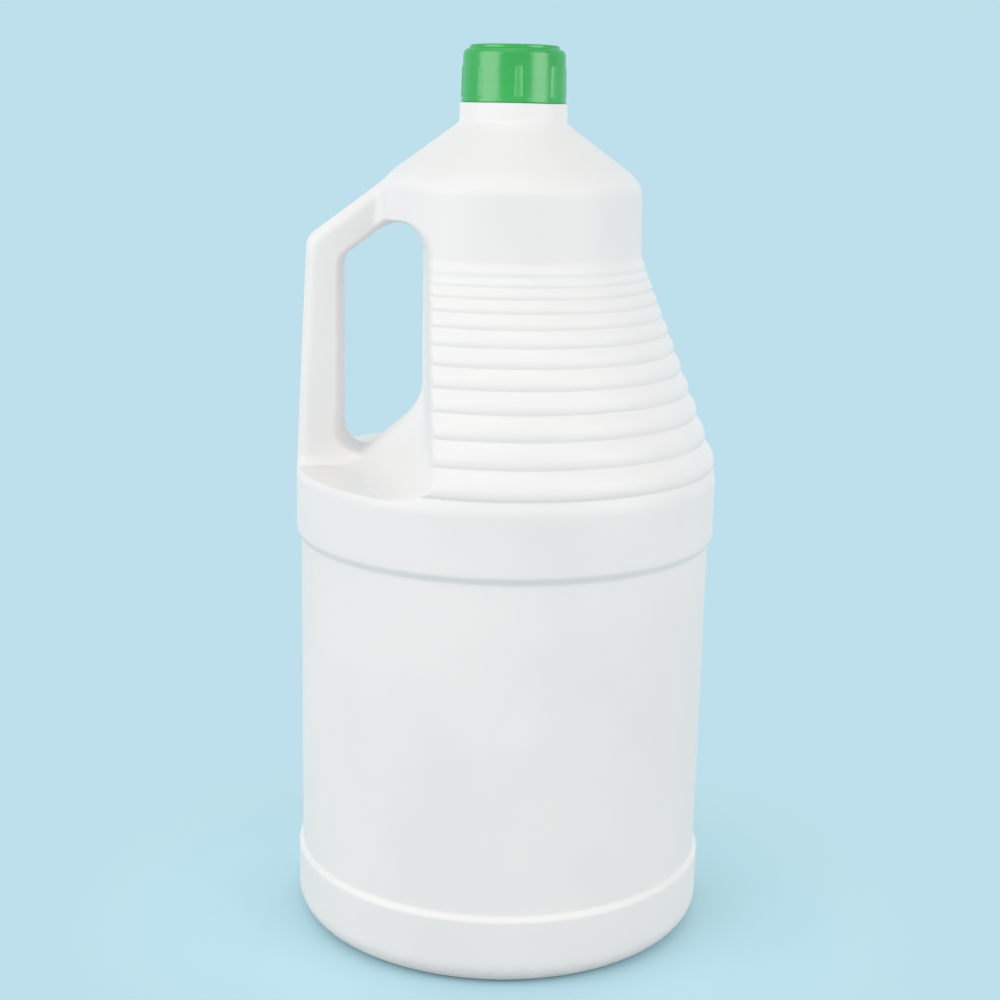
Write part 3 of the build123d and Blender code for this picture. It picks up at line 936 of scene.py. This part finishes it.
# This colour mix paints the highlight onto the ribs.
highlight_factor, highlight_base_in, highlight_colour_in, highlighted = colour_mix(tree)
highlight_colour_in.default_value = (*RIB_HIGHLIGHT_COLOUR, 1)
join(
    tree,
    (grip.outputs["Fac"], fade.inputs[0]),
    (grip.outputs["Fac"], duller.inputs[0]),
    (fade.outputs["Value"], highlight_factor),
    (source(green_shader.inputs["Base Color"]), highlight_base_in),
    (source(green_shader.inputs["Roughness"]), duller.inputs[2]),
    (highlighted, green_shader.inputs["Base Color"]),
    (duller.outputs["Value"], green_shader.inputs["Roughness"]),
)
print("green plastic has", len(tree.nodes), "nodes")

# %% [markdown]
# Each piece now gets its plastic. The liner in the cap is a plain disc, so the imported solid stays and
# only its material is changed. The two solids that are hidden get theirs too.
# %% Which piece gets which plastic
for piece in (can_skin, handle_bar, pinch_weld):
    piece.data.materials.append(white_plastic)
cap_shell.data.materials.append(green_plastic)
for name, material in (("screw_cap", green_plastic), ("cap_liner", foam_plastic),
                       ("bottle_body", white_plastic)):
    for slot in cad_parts[name].material_slots:
        slot.material = material
print("materials", [m.name for m in (white_plastic, green_plastic, foam_plastic)])

# %% [markdown]
# The can stands on a plain pale blue sheet, one large square. A sheet bent up behind the can would
# hide the horizon, but only from one side, so the horizon is hidden by the sheet's material instead.
# %% Floor
FLOOR_HALF = 6.0
floor_mesh = bpy.data.meshes.new("floor")
floor_mesh.from_pydata(
    [(x * FLOOR_HALF, y * FLOOR_HALF, 0) for x, y in ((-1, -1), (1, -1), (1, 1), (-1, 1))],
    [], [(0, 1, 2, 3)],
)
floor = placed("floor", floor_mesh)
print("floor spans", 2 * FLOOR_HALF, "m")

# %% [markdown]
# Close to the can the sheet is matt and takes its shadow. Further out the camera sees the even pale
# blue of the surroundings, so that no horizon shows. What the sheet throws back onto the can is only
# faintly blue, so that the white stays white.
# %% Pale sheet of the floor
SURROUNDINGS = (0.515, 0.745, 0.838)
SHEET_SEEN = (0.500, 0.750, 0.840)
SHEET_BOUNCE = (0.43, 0.51, 0.54)
SHEET_ROUGHNESS = 0.9
SHEET_NEAR, SHEET_FAR = 0.09, 0.19


def seen_ray(tree):
    """1 for rays that carry a picture (camera, glossy or transmission), 0 for rays that carry light."""
    path = node(tree, "ShaderNodeLightPath")
    total = path.outputs["Is Camera Ray"]
    for kind in ("Is Glossy Ray", "Is Transmission Ray"):
        add = node(tree, "ShaderNodeMath", operation="ADD", use_clamp=True)
        join(tree, (total, add.inputs[0]), (path.outputs[kind], add.inputs[1]))
        total = add.outputs["Value"]
    return total


sheet = bpy.data.materials.new("pale_sheet")
sheet.use_nodes = True
tree = sheet.node_tree
sheet_shader = tree.nodes["Principled BSDF"]
sheet_shader.inputs["Roughness"].default_value = SHEET_ROUGHNESS
sheet_shader.inputs["Specular IOR Level"].default_value = 0.0
glow = node(tree, "ShaderNodeEmission", Color=(*SURROUNDINGS, 1))
where = node(tree, "ShaderNodeTexCoord")
away = node(tree, "ShaderNodeVectorMath", operation="LENGTH")
far = node(tree, "ShaderNodeMapRange", From_Min=SHEET_NEAR, From_Max=SHEET_FAR,
           interpolation_type="SMOOTHSTEP")
seen = seen_ray(tree)
tint_factor, tint_bounce, tint_seen, tint = colour_mix(tree)
tint_bounce.default_value, tint_seen.default_value = (*SHEET_BOUNCE, 1), (*SHEET_SEEN, 1)
shown = node(tree, "ShaderNodeMath", operation="MULTIPLY")
blend = node(tree, "ShaderNodeMixShader")
join(
    tree,
    (where.outputs["Object"], away.inputs[0]),
    (away.outputs["Value"], far.inputs["Value"]),
    (seen, tint_factor),
    (tint, sheet_shader.inputs["Base Color"]),
    (far.outputs["Result"], shown.inputs[0]),
    (seen, shown.inputs[1]),
    (shown.outputs["Value"], blend.inputs["Fac"]),
    (sheet_shader.outputs["BSDF"], blend.inputs[1]),
    (glow.outputs["Emission"], blend.inputs[2]),
    (blend.outputs["Shader"], tree.nodes["Material Output"].inputs["Surface"]),
)
floor_mesh.materials.append(sheet)
print("pale sheet has", len(tree.nodes), "nodes")

# %% [markdown]
# Around the can is the same pale blue, as far as the camera and the reflections see. A painted sky
# could give both the colour and the light, but a blue light would tint the can, so the light that
# comes from all around is nearly white.
# %% Surroundings
AMBIENT_COLOUR, AMBIENT_LEVEL = (1.0, 0.985, 0.97), 0.57
world = bpy.data.worlds.new("surroundings")
bpy.context.scene.world = world
world.use_nodes = True
tree = world.node_tree
ambient = tree.nodes["Background"]
ambient.inputs["Color"].default_value = (*AMBIENT_COLOUR, 1)
ambient.inputs["Strength"].default_value = AMBIENT_LEVEL
backdrop = node(tree, "ShaderNodeBackground", Color=(*SURROUNDINGS, 1), Strength=1.0)
either = node(tree, "ShaderNodeMixShader")
join(
    tree,
    (seen_ray(tree), either.inputs["Fac"]),
    (ambient.outputs["Background"], either.inputs[1]),
    (backdrop.outputs["Background"], either.inputs[2]),
    (either.outputs["Shader"], tree.nodes["World Output"].inputs["Surface"]),
)
print("surroundings have", len(tree.nodes), "nodes")

# %% [markdown]
# The light is soft and comes from the front: two tall soft boxes, left and right of the camera, which
# show as the two upright bands on the cap, and a wide one high up on the left. Weaker lamps in front
# and behind even it out; they are left out of reflections, so that they make no bands of their own.
# Each entry is a name, the degrees left of the camera, the distance and height in metres, the width
# and height of the lamp, its watts, and whether reflections show it.
# %% Lights
LIGHT_AIM = Vector((0, 0, 0.2))
LIGHTS = [
    ("soft_box_left", 58.0, 1.5, 0.65, 1.4, 1.3, 12.2, True),
    ("soft_box_right", -59.0, 1.5, 0.65, 1.05, 1.3, 9.5, True),
    ("overhead", 40.0, 0.5, 1.6, 1.4, 1.4, 2.6, True),
    ("front_fill", -12.0, 1.8, 0.6, 1.2, 1.2, 3.0, False),
    ("back_fill_left", 145.0, 1.6, 0.7, 1.4, 1.2, 6.5, False),
    ("back_fill_right", -150.0, 1.6, 0.7, 1.4, 1.2, 8.0, False),
]
for name, azimuth, away_by, height, width, tall, power, mirrored in LIGHTS:
    lamp = bpy.data.lights.new(name, "AREA")
    lamp.shape = "RECTANGLE"
    lamp.size, lamp.size_y, lamp.energy = width, tall, power
    holder = placed(name, lamp)
    holder.visible_glossy = mirrored
    turn = math.radians(azimuth)
    holder.location = (-math.sin(turn) * away_by, -math.cos(turn) * away_by, height)
    holder.rotation_euler = (LIGHT_AIM - holder.location).to_track_quat("-Z", "Y").to_euler()
    print(name, "at", tuple(round(v, 2) for v in holder.location), "with", power, "W")
bpy.context.scene.view_settings.view_transform = "Standard"

# %% [markdown]
# Last, the view layer is brought up to date.
# %% Update the scene
bpy.context.view_layer.update()
